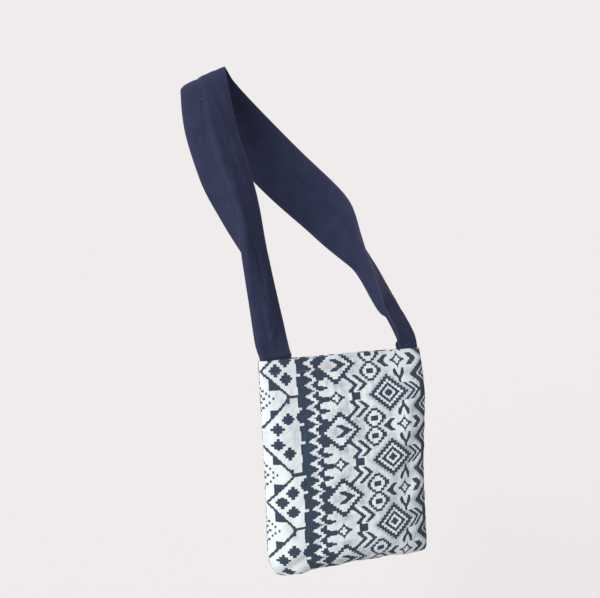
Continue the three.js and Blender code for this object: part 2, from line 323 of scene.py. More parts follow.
        # a star between two arrowheads, with a dart above and below
        star(52.5, fa, 3.9, 3.3)
        put((fa < 2.6) & (fx > 44.3 + 1.25 * fa) & (fx < 47 + 0.9 * fa))
        put((fa < 2.4) & (fx > 57.7 - 0.75 * fa) & (fx < 60.3 - 0.9 * fa))
        legs = np.interp(fa, [3.6, 5, 6, 7, 8], [1.65, 1.5, 1.2, 0.55, 0])
        thick = np.interp(fa, [3.6, 4.6, 6, 8, 9.4], [0.4, 0.65, 0.75, 0.6, 0.3])
        put((fa > 3.6) & (fa < 9.4) & (np.abs(np.abs(fx - 52.6) - legs) < thick))
        smudge(47.4, fa - 4.1, 2.2, 1.3, 0.34)
        smudge(56.6, fa - 5.4, 2.6, 2, 0.42)

    def seamBand():
        # chevrons and half diamonds at the right seam
        for apex in (57.6, 60):
            put((np.abs(fx - apex + 1.05 * fb) < 0.78) & (fb < 3.4))
        fine = np.abs(fx - 63) + np.abs(fb - 6.5)
        put((fine < 6.3) & (fine > 3.7) | (fine < 3) & (fine > 1.5) | (fine < 0.7))
        put((fx > 60.4) & (b < 2.4))
        halo(63, fb - 6.5, 6.2, 1.6, 0.55)

    # from the left seam to the right one, each over the last
    bands = (whiteBand, navyBand, diamondsAndClouds, doubleChevrons,
             ringPairs, largeDiamonds, starsAndDarts, seamBand)
    for band in bands:
        band()
    haze *= np.random.default_rng(chart["threadSeed"]).uniform(*chart["threadHaze"], haze.shape)
    haze[ink > 0.5] = 0
    return ink, haze


def inkPanel(piece, moreLost):
    # a print step is three faces wide and two high; moreLost: further rows lost above the mouth
    mesh = piece.data
    uv = np.empty(len(mesh.loops) * 2)
    mesh.uv_layers[0].data.foreach_get("uv", uv)
    first = np.empty(len(mesh.polygons), int)
    count = np.empty(len(mesh.polygons), int)
    mesh.polygons.foreach_get("loop_start", first)
    mesh.polygons.foreach_get("loop_total", count)
    middle = np.add.reduceat(uv.reshape(-1, 2), first, axis=0) / count[:, None]
    across = middle[:, 0] * chart["columns"]
    down = (1 - middle[:, 1]) * chart["rows"] + chart["lead"] + moreLost
    for name, values in zip(("ink", "haze"), chartPrint(across, down)):
        mesh.attributes.new(name, "FLOAT", "FACE").data.foreach_set("value", values.astype(np.float32))


def startMaterial(name):
    material = bpy.data.materials.new(name)
    material.use_nodes = True
    nodes, links = material.node_tree.nodes, material.node_tree.links
    return material, nodes, links, nodes["Principled BSDF"]


def mathNode(nodes, links, kind, first, second=None):
    node = nodes.new("ShaderNodeMath")
    node.operation = kind
    for socket, value in zip(node.inputs, (first, second)):
        if isinstance(value, (int, float)):
            socket.default_value = value
        elif value is not None:
            links.new(value, socket)
    return node.outputs[0]


def mixNode(nodes, links, share, first, second):
    node = nodes.new("ShaderNodeMix")
    node.data_type = "RGBA"
    for socket, value in ((node.inputs[0], share), (node.inputs[6], first), (node.inputs[7], second)):
        if isinstance(value, (int, float, tuple)):
            socket.default_value = value
        else:
            links.new(value, socket)
    return node.outputs[2]


def attributeNode(nodes, name):
    node = nodes.new("ShaderNodeAttribute")
    node.attribute_name = name
    return node.outputs["Fac"]


def weave(nodes, links, threads):
    # over and under of a plain weave, from the cut's own map; threads: across and along the cut
    place = nodes.new("ShaderNodeUVMap")
    apart = nodes.new("ShaderNodeSeparateXYZ")
    links.new(place.outputs[0], apart.inputs[0])
    waves = []
    for output, count in zip(apart.outputs, threads):
        turns = mathNode(nodes, links, "MULTIPLY", output, count * math.pi)
        waves.append(mathNode(nodes, links, "SINE", turns))
    return mathNode(nodes, links, "MULTIPLY", *waves)


def noiseNode(nodes, links, scale, detail, rough=0.55):
    place = nodes.new("ShaderNodeTexCoord")
    node = nodes.new("ShaderNodeTexNoise")
    node.inputs["Scale"].default_value = scale
    node.inputs["Detail"].default_value = detail
    node.inputs["Roughness"].default_value = rough
    links.new(place.outputs["Object"], node.inputs["Vector"])
    return node.outputs[0]


def rampNode(nodes, links, value, stops):
    node = nodes.new("ShaderNodeValToRGB")
    for element, (position, grey) in zip(node.color_ramp.elements, stops):
        element.position = position
        element.color = (grey, grey, grey, 1)
    links.new(value, node.inputs[0])
    return node.outputs[0]


def bumpNode(nodes, links, height, strength, distance, before=None):
    node = nodes.new("ShaderNodeBump")
    node.inputs["Strength"].default_value = strength
    node.inputs["Distance"].default_value = distance
    links.new(height, node.inputs["Height"])
    if before:
        links.new(before, node.inputs["Normal"])
    return node.outputs[0]


printedLook = dict(
    ground=(0.83, 0.885, 0.895, 1), shade=(0.76, 0.80, 0.825, 1),
    hazeInk=(0.30, 0.34, 0.42, 1), hazeStrength=1.15,
    ink=(0.025, 0.0415, 0.071, 1), inkWorn=(0.043, 0.064, 0.098, 1), inkPale=(0.044, 0.075, 0.126, 1),
    faceInk=1.0, backInk=0.26,  # shares of it that show on each face
    cloudScale=38, fibreScale=900, mottleScale=260, threads=(580, 690),
    sheen=0.04, sheenRough=0.55, specular=0.12,
)


def printedCotton(name, through):
    # through: share of the ink that shows
    look = printedLook
    material, nodes, links, shader = startMaterial(name)
    cloud = noiseNode(nodes, links, look["cloudScale"], 4)
    fibre = noiseNode(nodes, links, look["fibreScale"], 2, 0.7)
    mottle = noiseNode(nodes, links, look["mottleScale"], 3, 0.6)

    # white ground, shaded in patches, with the grey haze
    patches = rampNode(nodes, links, cloud, ((0.38, 0), (0.72, 0.8)))
    ground = mixNode(nodes, links, patches, look["ground"], look["shade"])
    grey = mathNode(nodes, links, "MULTIPLY", attributeNode(nodes, "haze"), look["hazeStrength"])
    ground = mixNode(nodes, links, grey, ground, look["hazeInk"])

    # navy ink, worn along the fibres and paler in spots
    worn = rampNode(nodes, links, fibre, ((0.46, 0), (0.74, 0.85)))
    dye = mixNode(nodes, links, worn, look["ink"], look["inkWorn"])
    pale = rampNode(nodes, links, mottle, ((0.42, 0), (0.7, 0.75)))
    dye = mixNode(nodes, links, pale, dye, look["inkPale"])
    taken = rampNode(nodes, links, fibre, ((0.3, 1), (0.95, 0.94)))
    taken = mathNode(nodes, links, "MULTIPLY", taken, through)
    cover = mathNode(nodes, links, "MULTIPLY", attributeNode(nodes, "ink"), taken)
    links.new(mixNode(nodes, links, cover, ground, dye), shader.inputs["Base Color"])

    links.new(rampNode(nodes, links, cloud, ((0.2, 0.86), (0.8, 0.95))), shader.inputs["Roughness"])
    soft = bumpNode(nodes, links, cloud, 0.25, 0.0012)
    threads = weave(nodes, links, look["threads"])
    links.new(bumpNode(nodes, links, threads, 0.22, 0.00012, soft), shader.inputs["Normal"])
    shader.inputs["Sheen Weight"].default_value = look["sheen"]
    shader.inputs["Sheen Roughness"].default_value = look["sheenRough"]
    shader.inputs["Specular IOR Level"].default_value = look["specular"]
    return material


navyLook = dict(
    dye=(0.0222, 0.0263, 0.0585, 1), dyeLight=(0.030, 0.036, 0.077, 1), worn=(0.075, 0.085, 0.150, 1),
    lint=(0.40, 0.42, 0.50, 1), lintScale=26, lintSize=0.02, lintShare=0.6, edgeWear=0.3,
    cloudScale=26, fibreScale=1100, threads=(230, 2700),
    sheen=0.06, sheenRough=0.5, sheenTint=(0.55, 0.6, 0.85, 1), specular=0.12,
)


def navyCotton(name):
    look = navyLook
    material, nodes, links, shader = startMaterial(name)
    cloud = noiseNode(nodes, links, look["cloudScale"], 4)
    fibre = noiseNode(nodes, links, look["fibreScale"], 2, 0.7)

    # uneven dye, worn along the fibres and at the edges
    patches = rampNode(nodes, links, cloud, ((0.32, 0), (0.7, 1)))
    dye = mixNode(nodes, links, patches, look["dye"], look["dyeLight"])
    dye = mixNode(nodes, links, rampNode(nodes, links, fibre, ((0.5, 0), (0.8, 0.35))), dye, look["worn"])
    rubbed = mathNode(nodes, links, "MULTIPLY", attributeNode(nodes, "edge"), look["edgeWear"])
    dye = mixNode(nodes, links, rubbed, dye, look["worn"])

    # specks of lint
    place = nodes.new("ShaderNodeTexCoord")
    fluff = nodes.new("ShaderNodeTexVoronoi")
    fluff.inputs["Scale"].default_value = look["lintScale"]
    links.new(place.outputs["Object"], fluff.inputs["Vector"])
    speck = mathNode(nodes, links, "LESS_THAN", fluff.outputs["Distance"], look["lintSize"])
    linty = mathNode(nodes, links, "MULTIPLY", speck, look["lintShare"])
    dye = mixNode(nodes, links, linty, dye, look["lint"])
    links.new(dye, shader.inputs["Base Color"])

    links.new(rampNode(nodes, links, cloud, ((0.2, 0.84), (0.8, 0.94))), shader.inputs["Roughness"])
    soft = bumpNode(nodes, links, cloud, 0.22, 0.0015)
    threads = weave(nodes, links, look["threads"])
    links.new(bumpNode(nodes, links, threads, 0.25, 0.00012, soft), shader.inputs["Normal"])
    shader.inputs["Sheen Weight"].default_value = look["sheen"]
    shader.inputs["Sheen Roughness"].default_value = look["sheenRough"]
    shader.inputs["Sheen Tint"].default_value = look["sheenTint"]
    shader.inputs["Specular IOR Level"].default_value = look["specular"]
    return material


threadLook = dict(white=(0.50, 0.53, 0.57, 1), navy=(0.05, 0.056, 0.13, 1),
                  shade=0.72, twistScale=1400, sheen=0.2)


def threadCotton(name, colour):
    material, nodes, links, shader = startMaterial(name)
    twist = noiseNode(nodes, links, threadLook["twistScale"], 2, 0.6)
    dark = tuple(c * threadLook["shade"] for c in colour[:3]) + (1,)
    strands = rampNode(nodes, links, twist, ((0.35, 0), (0.7, 1)))
    links.new(mixNode(nodes, links, strands, colour, dark), shader.inputs["Base Color"])
    links.new(rampNode(nodes, links, twist, ((0.2, 0.6), (0.8, 0.8))), shader.inputs["Roughness"])
    shader.inputs["Sheen Weight"].default_value = threadLook["sheen"]
    return material


faceCotton = printedCotton("printedCottonFace", printedLook["faceInk"])
backCotton = printedCotton("printedCottonBack", printedLook["backInk"])
strapCotton = navyCotton("navyCotton")
whiteThread = threadCotton("whiteThread", threadLook["white"])
navyThread = threadCotton("navyThread", threadLook["navy"])
print("materials mixed")


# pouch of two panels, in metres but for the sections
pouch = dict(
    width=0.305, height=0.361, middle=0.148, seamY=-0.207, mouthZ=-0.493, mouthDepth=0.0085, seamGap=0.0003,
    clothWidth=0.320, clothHeight=0.373,  # over the bulge, seam to seam and mouth to bottom
    columns=192, rows=174, drapeColumns=48, drapeRows=58, cloth=0.0011,
    hemDepth=0.0245, hemLift=0.0023, hemRows=12, foldRows=4,
    hemStitchUp=0.002, hemPress=0.0003, hemPressReach=0.0022,
    seamDip=0.0009, seamReach=0.0028,
    # puckers beside the seams: rise, reach, step along the seam, where they are whole,
    # waves to a metre away from the seam, seeds for the sides and the bottom
    pucker=0.0017, puckerReach=0.013, puckerStep=0.0125, puckerStart=0.006,
    puckerAway=30, puckerSeeds=(3.1, 1.7),
    # from the mouth down: drop as a share of the height, millimetres that the seams are drawn in at left
    # and right and that the front and back bulge, and how boxy the section is
    sections=np.array([
        [0, 0, -2.5, 8.5, 8.5, 30], [0.04, 0, -5, 8.6, 8.6, 28], [0.11, 0, -8.5, 10, 9.5, 16],
        [0.24, 0.5, -12, 15, 12.5, 5], [0.39, 1.5, -9, 20, 15.5, 3], [0.56, 2.5, -5, 24, 18, 2.6],
        [0.72, 3, -4.5, 27, 20, 2.6], [0.84, 2.5, -5, 27, 20, 2.8], [0.926, 4.5, -6, 22.5, 17.5, 3],
        [0.971, 10.5, -6, 14.5, 12, 3.4], [0.992, 19, -4, 7.5, 6.5, 4], [1, 27, 0, 0, 0, 4]]),
    # where the bottom seam hangs lower: from the middle, half-breadth, fall
    bottomSags=((-0.100, 0.034, 0.005), (0.128, 0.046, 0.0025), (-0.028, 0.013, 0.0014),
                (0.012, 0.009, -0.0009), (0.048, 0.011, 0.0013), (0.086, 0.010, -0.0012),
                (0.112, 0.008, 0.0010)),
    # soft folds: from the middle, below the mouth, lean in degrees, half-run, half-breadth, rise
    frontFolds=((-0.104, 0.340, -30, 0.034, 0.010, -0.006), (-0.112, 0.318, -36, 0.040, 0.018, 0.004),
                (0.126, 0.205, 90, 0.044, 0.016, -0.004), (0.124, 0.112, 90, 0.040, 0.018, 0.0035),
                (-0.092, 0.122, -62, 0.090, 0.026, -0.0035), (0.066, 0.150, 58, 0.100, 0.028, -0.003),
                (0.030, 0.318, 4, 0.090, 0.016, 0.003)),
    backFolds=((0.020, 0.190, 80, 0.110, 0.048, -0.006), (-0.120, 0.322, 45, 0.036, 0.016, 0.004),
               (0.104, 0.326, -40, 0.040, 0.014, -0.004)),
    foldEase=0.024,  # below the mouth, where the folds are whole
    # where the front cloth is drawn to the right: print step and row, its reach each way, steps moved
    slip=(56.5, 43, 11, 13, 1.5),
    drape=dict(frames=26, quality=6, mass=0.25, stretch=14, shear=6, bend=2.5,
               damping=8, bendDamping=1.5, air=3,
               slack=0.003, pressure=0.3, hold=0.5, gravity=0.1, cap=0.004, grip=0.12),
)


def panelSurface(side, u, t):
    # outside of a panel: u from -1 at the left seam to 1, t from 0 at the mouth to 1 at the bottom seam
    row = smoothRead(pouch["sections"], t)
    drop = row[..., 0] * pouch["height"]
    bulge = np.maximum(0, row[..., 3] if side < 0 else row[..., 4]) / 1000
    leftX, rightX = row[..., 1] / 1000 - pouch["width"] / 2, pouch["width"] / 2 - row[..., 2] / 1000
    across = np.sin(u * np.pi / 2)
    x = (leftX + rightX) / 2 + across * (rightX - leftX) / 2
    crown = np.sqrt(np.maximum(0, 1 - np.abs(across) ** row[..., 5]))
    ease = np.minimum(1, np.minimum(drop / pouch["foldEase"], bulge / pouch["mouthDepth"])) * crown
    lift = np.zeros_like(x)
    for foldX, foldDrop, lean, run, breadth, rise in pouch["frontFolds"] if side < 0 else pouch["backFolds"]:
        turn = math.radians(lean)
        dx, down = x - foldX, drop - foldDrop
        along = (dx * math.cos(turn) + down * math.sin(turn)) / run
        over = (down * math.cos(turn) - dx * math.sin(turn)) / breadth
        lift += rise * np.exp(-along**2 - over**2)
    depth = bulge * crown + lift * ease + pouch["seamGap"] / 2
    sag = sum(fall * np.exp(-(((x - low) / breadth) ** 2)) for low, breadth, fall in pouch["bottomSags"])
    z = pouch["mouthZ"] - drop - sag * row[..., 0] ** 6
    return np.stack([pouch["middle"] + x, pouch["seamY"] + side * depth, z], -1)


def slipped(even, rowShare):
    # even places across the front, drawn a little to the right about the slip
    middleX, middleY, reachX, reachY, moved = pouch["slip"]
    step = even * chart["columns"]
    near = math.exp(-((rowShare * chart["rows"] - middleY) / reachY) ** 2)
    return even + moved * near * np.exp(-((step - middleX) / reachX) ** 2) * (1 - even**10) / chart["columns"]


def evenPanel(side, columns, rows):
    # the same surface, read at even lengths of cloth down and across
    t, u = np.linspace(0, 1, 241), np.linspace(-1, 1, 401)
    fine = panelSurface(side, np.tile(u, (len(t), 1)), np.tile(t[:, None], (1, len(u))))
    for axis, steps in ((0, rows), (1, columns)):
        fine = np.swapaxes(fine, 0, axis)
        lengths = np.linalg.norm(np.diff(fine, axis=0), axis=2)
        run = np.concatenate([np.zeros((1, fine.shape[1])), np.cumsum(lengths, 0)])
        run /= run[-1]
        even = np.linspace(0, 1, steps + 1)
        lines = []
        for k in range(fine.shape[1]):
            want = slipped(even, k / rows) if axis == 1 and side < 0 else even
            lines.append(np.stack([np.interp(want, run[:, k], fine[:, k, c]) for c in range(3)], -1))
        fine = np.swapaxes(np.stack(lines, 1), 0, axis)
    return fine


def drapePanel(side):
    # a coarser cut of the panel is draped, and its moves are read back smoothly for the full cut
    columns, rows, look = pouch["drapeColumns"], pouch["drapeRows"], pouch["drape"]
    fullColumns, fullRows = pouch["columns"], pouch["rows"]
    places = evenPanel(side, columns, rows)
    piece = gridSheet("drapeCut", columns, rows)
    order = sheetOrder(piece, columns, rows)
    placeSheet(piece, order, places, np.zeros(places.shape[:2] + (2,)))

    # held at the seams and along the hem
    c, r = np.meshgrid(np.arange(columns + 1), np.arange(rows + 1))
    near = np.minimum(np.minimum(c, columns - c), rows - r)
    atSeams = np.interp(near, [0, 1, 3], [1, 0.7, look["grip"]])
    atHem = np.interp(r, [5, 10], [1, look["grip"]])
    addGroup(piece, "held", order, np.maximum(atSeams, atHem))
    moves = np.zeros(places.shape)
    moves[order] = drape(piece, look) - places[order]
    bpy.data.objects.remove(piece)
    moves = smoothRead(moves.reshape(rows + 1, -1), np.linspace(0, 1, fullRows + 1))
    moves = np.swapaxes(moves.reshape(fullRows + 1, columns + 1, 3), 0, 1)
    moves = smoothRead(moves.reshape(columns + 1, -1), np.linspace(0, 1, fullColumns + 1))
    return np.swapaxes(moves.reshape(fullColumns + 1, fullRows + 1, 3), 0, 1)


def keepSide(places, side):
    # neither panel crosses the plane of the seams
    depth = side * (places[..., 1] - pouch["seamY"])
    places[..., 1] = pouch["seamY"] + side * np.maximum(pouch["seamGap"] / 2, depth)


def sewnLift(outer, side):
    # the cloth dips into its seams, puckers beside them and is pressed in by the hem's stitches
    columns, rows = pouch["columns"], pouch["rows"]
    c, r = np.meshgrid(np.arange(columns + 1), np.arange(rows + 1))
    toSide = np.minimum(c, columns - c) / columns * pouch["clothWidth"]
    toBottom = (rows - r) / rows * pouch["clothHeight"]
    drop = r / rows * pouch["clothHeight"]
    hem = np.clip(drop / pouch["hemDepth"], 0, 1)

    def ripple(scaleX, seed, scaleZ):
        def wave(spot):
            return noise.noise(Vector((spot[0] * scaleX, side * seed, spot[2] * scaleZ)))

        return np.array([[wave(spot) for spot in line] for line in outer])

    def nearSeams(reach):
        return np.exp(-(toSide / reach) ** 2), np.exp(-(toBottom / reach) ** 2)

    tight, loose = 1 / pouch["puckerStep"], pouch["puckerAway"]
    sideSeed, bottomSeed = pouch["puckerSeeds"]
    sideNear, bottomNear = nearSeams(pouch["puckerReach"])
    puckers = ripple(loose, sideSeed, tight) * sideNear * hem
    puckers += ripple(tight, bottomSeed, loose) * bottomNear
    fromEdge = np.clip(np.minimum(toSide, toBottom) / pouch["puckerStart"], 0, 1)
    lift = pouch["pucker"] * puckers * (0.35 + 0.65 * fromEdge)
    sideDip, bottomDip = nearSeams(pouch["seamReach"])
    lift -= pouch["seamDip"] * (sideDip * (0.5 + 0.5 * hem) + bottomDip)
    fromStitches = drop - pouch["hemDepth"] + pouch["hemStitchUp"]
    return lift - pouch["hemPress"] * np.exp(-((fromStitches / pouch["hemPressReach"]) ** 2))


def turnHem(outer, out, side):
    # the hem is turned over the mouth and down inside; returns all rows from its inner edge, and their cloth
    columns, rows, hemRows, foldRows = pouch["columns"], pouch["rows"], pouch["hemRows"], pouch["foldRows"]
    radius = pouch["hemLift"] / 2
    top = outer[0].copy()
    top[:, 2] = pouch["mouthZ"]
    outer[0, :, 2] = pouch["mouthZ"] - radius
    fold = []
    for k in range(1, foldRows):
        turn = math.pi * k / foldRows
        spot = top - out[0] * radius * (1 - math.cos(turn))
        spot[:, 2] = pouch["mouthZ"] - radius * (1 - math.sin(turn))
        fold.append(spot)
    inside = np.array([outer[k] - out[min(k, 2)] * pouch["hemLift"] for k in range(hemRows + 1)])
    keepSide(inside, side)
    places = np.array([*inside[::-1], *fold[::-1], *outer])
    foldLength = math.pi * radius / pouch["clothHeight"] * rows
    hemDown = -foldLength - np.arange(hemRows, -1, -1)
    foldDown = -foldLength * np.arange(foldRows - 1, 0, -1) / foldRows
    down = np.concatenate([hemDown, foldDown, np.arange(rows + 1)])
    return places, np.stack(np.meshgrid(np.arange(columns + 1) / columns, 1 - down / rows), -1)


def makePanel(name, side, moreLost):
    # side: -1 for the front and 1 for the back
    outer = evenPanel(side, pouch["columns"], pouch["rows"])
    outer = outer + drapePanel(side)
    out = sheetNormals(outer)
    out = np.where((out[..., 1:2] * side < 0), -out, out)
    out[0, :, 2] = out[1, :, 2] = 0
    out[:, 0], out[:, -1] = (-1, 0, 0), (1, 0, 0)
    out[-1] = (0, 0, -1)
    out /= np.linalg.norm(out, axis=-1, keepdims=True)
    outer = outer + out * sewnLift(outer, side)[..., None]
    keepSide(outer, side)
    places, cloth = turnHem(outer, out, side)
    if side > 0:
        places = places[:, ::-1]  # read from behind

    columns, rows = pouch["columns"], len(places) - 1
    piece = gridSheet(name, columns, rows)
    placeSheet(piece, sheetOrder(piece, columns, rows), places, cloth)
    pick(piece)
    wall = piece.modifiers.new("wall", "SOLIDIFY")
    wall.thickness = pouch["cloth"]
    wall.offset = -1
    wall.material_offset = 1
    piece.data.materials.append(faceCotton)
    piece.data.materials.append(backCotton)
    finishModifiers(piece)
    inkPanel(piece, moreLost)
    pick(piece)
    bpy.ops.object.shade_smooth_by_angle(angle=math.radians(60))
    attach(piece, "root")
    print(name, "made,", len(piece.data.polygons), "faces")
    return piece, outer, out


frontPanel, frontOuter, frontOut = makePanel("pouchFront", -1, 0)
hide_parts("front_panel")
backPanel, backOuter, backOut = makePanel("pouchBack", 1, chart["repeat"] / 2)
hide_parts("back_panel")


# one wide strap: its ends and its route in millimetres, the rest in metres
strap = dict(
    width=0.107, wall=0.0015, columns=60, rows=540, softEdge=0.0004,
    sewnIn=34, above=5,  # inside the mouth, and straight above it
    turn=-25.5,  # degrees from the pouch's axes to those of the route
    endFold=(180, 4.4), endBow=(0.5, 0.5), endPlace=(-148.5, 151), endLean=(-0.11, -0.05),
    leftArms=(57, 50), rightArms=(41, 41),
    # crease from above the left end to above the right end, on the turned axes:
    # place, way out, fold in degrees, bend radius, arms at front and back, their bows
    route=np.array([
        [82.5, -178.8, -462, -0.84, -0.54, 0, 172, 4, 57.5, 50, 0.5, 0.5],
        [74.7, -160, -394.5, -0.68, -0.73, 0, 166, 3, 57.5, 49, 1.5, -1],
        [67.5, -142, -328, -0.46, -0.89, 0, 144, 3, 54.5, 49, 0, -2],
        [62, -126, -247, 0.05, -0.99, 0, 92, 4, 48, 47, 0, 2],
        [40, -109, -170, 0.27, -0.95, 0.15, 46, 7, 48, 48, 1.5, 4],
        [18, -84, -96, 0.25, -0.87, 0.42, 36, 12, 49, 47, 2.5, 4],
        [5, -42, -28, 0.03, -0.66, 0.74, 26, 18, 44, 43, 2.5, 5],
        [0, 0, 0.8, -0.42, 0, 0.9, 10, 24, 42, 43, 0, 2],
        [12, 40, -22, -0.16, 0.62, 0.76, 10, 24, 46, 47, -3, 3],
        [58, 86, -84, -0.05, 0.95, 0.3, 12, 20, 50, 51, -3, 2],
        [138, 104, -172, 0.08, 0.99, 0.05, 14, 16, 51, 53, -2, 2],
        [222, 84, -252, 0.48, 0.87, 0, 24, 12, 50, 54, -2, 1],
        [279, 32, -320, 0.98, 0.19, 0, 40, 8, 52, 51, -2, 0],
        [323, -22, -402, 0.99, 0.12, 0, 83, 5, 51, 42, -1, 4],
        [337, -36, -430, 1, 0.04, 0, 92, 4, 48, 35, 0, 6],
        [355, -54, -468, 0.98, 0.2, 0, 126, 4, 43, 33, 0, 4]]),
    # soft creases: along from the left end, share across from the front edge, half-run,
    # half-breadth as a share, slant, rise
    creases=((0.140, 0.30, 0.095, 0.20, 0, 0.0080), (0.212, 0.27, 0.030, 0.04, 0.3, -0.0020),
             (0.160, 0.22, 0.030, 0.05, 0, 0.0014), (0.095, 0.36, 0.030, 0.05, 0.6, -0.0014),
             (0.235, 0.46, 0.050, 0.08, 0.1, 0.0030), (0.290, 0.53, 0.090, 0.03, 0, 0.0017),
             (0.290, 0.60, 0.080, 0.035, 0, -0.0019), (0.500, 0.46, 0.035, 0.15, 0, 0.0028),
             (0.345, 0.50, 0.050, 0.04, -0.6, -0.0020), (0.360, 0.78, 0.060, 0.05, 0.8, -0.0016),
             (0.560, 0.62, 0.070, 0.05, 0.6, -0.0006), (0.900, 0.45, 0.110, 0.07, 0.5, 0.0018),
             (1.100, 0.35, 0.080, 0.06, -0.6, -0.0018),
             # narrower wrinkles, where the cloth gathers into its fold and over the top
             (0.300, 0.62, 0.030, 0.034, -4, 0.0013), (0.328, 0.66, 0.030, 0.034, -5, -0.0012),
             (0.268, 0.56, 0.022, 0.034, -4, 0.0012), (0.246, 0.34, 0.024, 0.032, 5, 0.0012),
             (0.126, 0.28, 0.022, 0.034, 6, 0.0012), (0.078, 0.24, 0.016, 0.034, -6, 0.0010),
             (0.186, 0.14, 0.026, 0.034, -4, 0.0010), (0.500, 0.66, 0.060, 0.036, -1.2, 0.0014),
             (0.462, 0.60, 0.060, 0.045, -1.2, -0.0007), (0.395, 0.26, 0.030, 0.036, 3, 0.0010),
             (0.640, 0.40, 0.070, 0.045, 2, 0.0014), (0.760, 0.60, 0.070, 0.045, -2, -0.0014),
             (0.960, 0.55, 0.050, 0.045, 4, 0.0016), (1.050, 0.66, 0.040, 0.040, -4, -0.0014),
             (1.190, 0.40, 0.040, 0.040, 5, 0.0016), (1.225, 0.64, 0.030, 0.040, -5, 0.0014)),
    # crests and valleys pressed into the cloth: along, share across, half-run,
    # breadths toward the front and back edges as shares, slant, rise
    ridges=((0.395, 0.53, 0.110, 0.30, 0.16, 0.1, 0.0062), (0.450, 0.26, 0.070, 0.08, 0.17, 1.9, 0.0034),
            (0.500, 0.37, 0.022, 0.04, 0.08, 1.9, 0.0014), (0.432, 0.70, 0.024, 0.03, 0.05, 0, -0.0016),
            (0.345, 0.59, 0.012, 0.03, 0.03, 0, -0.0012), (0.312, 0.66, 0.016, 0.05, 0.05, 3, -0.0013),
            (0.360, 0.08, 0.022, 0.04, 0.04, 4, -0.0014), (0.262, 0.47, 0.050, 0.03, 0.08, 0, 0.0016)),
    crest=0.01,  # share across that a crest is rounded over
    ripple=0.0009, rippleScales=((5.5, 7, 4.2, 1), (13, 16, 9.1, 0.5)),  # across, along, seed, share
    leftFree=(0.037, 0.06), rightFree=(0.045, 0.10),  # from each end, where the creases start and are whole
    stitchIn=0.0042, stitchPress=0.3, stitchReach=0.0016, edgeWorn=0.003,
)


def strapTable():
    turn = math.radians(strap["turn"])
    spin = np.array([[math.cos(turn), -math.sin(turn)], [math.sin(turn), math.cos(turn)]])
    route = strap["route"].copy()
    route[:, 0:2] = route[:, 0:2] @ spin.T
    route[:, 3:5] = route[:, 3:5] @ spin.T

    def endRow(end, hand, arms, above):
        x = pouch["middle"] * 1000 + strap["endPlace"][end] + strap["endLean"][end] * above
        y, z = pouch["seamY"] * 1000, pouch["mouthZ"] * 1000 + above
        return [x, y, z, hand, 0, 0, *strap["endFold"], *arms, *strap["endBow"]]

    levels = [-strap["sewnIn"], -strap["sewnIn"] / 2, 0, strap["above"]]
    leftEnd = [endRow(0, -1, strap["leftArms"], level) for level in levels]
    rightEnd = [endRow(1, 1, strap["rightArms"], level) for level in levels[::-1]]
    return np.array([*leftEnd, *route, *rightEnd], float)


def strapSurface(rows, columns):
    # even stations along the crease, even steps across from the front edge to the back edge
    table = strapTable()
    fine = np.linspace(0, 1, 6001)
    line = smoothRead(table[:, :3], fine)
    run = np.concatenate([[0], np.cumsum(np.linalg.norm(np.diff(line, axis=0), axis=1))])
    t = np.interp(np.linspace(0, run[-1], rows + 1), run, fine)
    row = smoothRead(table, t)
    ahead, behind = np.minimum(1, t + 1e-4), np.maximum(0, t - 1e-4)
    along = smoothRead(table[:, :3], ahead) - smoothRead(table[:, :3], behind)
    along /= np.linalg.norm(along, axis=1, keepdims=True)
    out = row[:, 3:6] - along * np.sum(row[:, 3:6] * along, 1, keepdims=True)
    out /= np.linalg.norm(out, axis=1, keepdims=True)
    frontWay = np.cross(along, out)
    turn, bend = np.radians(row[:, 6]) / 2, row[:, 7]
    arc = bend * turn
    widths = row[:, 8] + row[:, 9]
    places = np.zeros((rows + 1, columns + 1, 3))
    for k, share in enumerate(np.linspace(0, 1, columns + 1)):
        fromCrease = row[:, 8] - share * widths  # above zero on the front arm
        hand = np.where(fromCrease >= 0, 1, -1)
        away = np.abs(fromCrease)
        arm = np.where(hand > 0, row[:, 8], row[:, 9])
        bow = np.where(hand > 0, row[:, 10], row[:, 11])
        reach = np.maximum(0, away - arc)
        part = np.clip(reach / np.maximum(arm - arc, 1e-6), 0, 1)
        lift = bow * 6.75 * part**2 * (1 - part)  # all of the bow at two thirds of the arm
        angle = np.where(away < arc, away / np.maximum(bend, 1e-6), turn)
        outStep = bend * (np.cos(angle) - 1) - reach * np.sin(turn) + lift * np.cos(turn)
        frontStep = bend * np.sin(angle) + reach * np.cos(turn) + lift * np.sin(turn)
        places[:, k] = row[:, :3] + out * outStep[:, None] + frontWay * (hand * frontStep)[:, None]
    return places / 1000, run[-1] / 1000


def creaseLift(c, r, length):
    # c: share across, r: metres along; the sewn ends stay flat
    lift = np.zeros(c.shape)
    for at, over, halfRun, halfBreadth, slant, rise in strap["creases"]:
        dr = r - at
        dc = c - over - slant * dr
        lift += rise * np.exp(-((dr / halfRun) ** 2) - (dc / halfBreadth) ** 2)
    for at, over, halfRun, frontBreadth, backBreadth, slant, rise in strap["ridges"]:
        dr = r - at
        dc = c - over - slant * dr
        off = np.hypot(dc, strap["crest"]) - strap["crest"]
        lift += rise * np.exp(-((dr / halfRun) ** 2) - off / np.where(dc > 0, backBreadth, frontBreadth))

    def wander(across, along):
        waves = [share * noise.noise(Vector((across * a, along * b, seed)))
                 for a, b, seed, share in strap["rippleScales"]]
        return sum(waves)

    lift += strap["ripple"] * np.array([[wander(*spot) for spot in zip(*lines)] for lines in zip(c, r)])
    leftStart, leftWhole = strap["leftFree"]
    rightStart, rightWhole = strap["rightFree"]
    stations = [0, leftStart, leftWhole, length - rightWhole, length - rightStart, length]
    return lift * np.interp(r, stations, [0, 0, 1, 1, 0, 0])


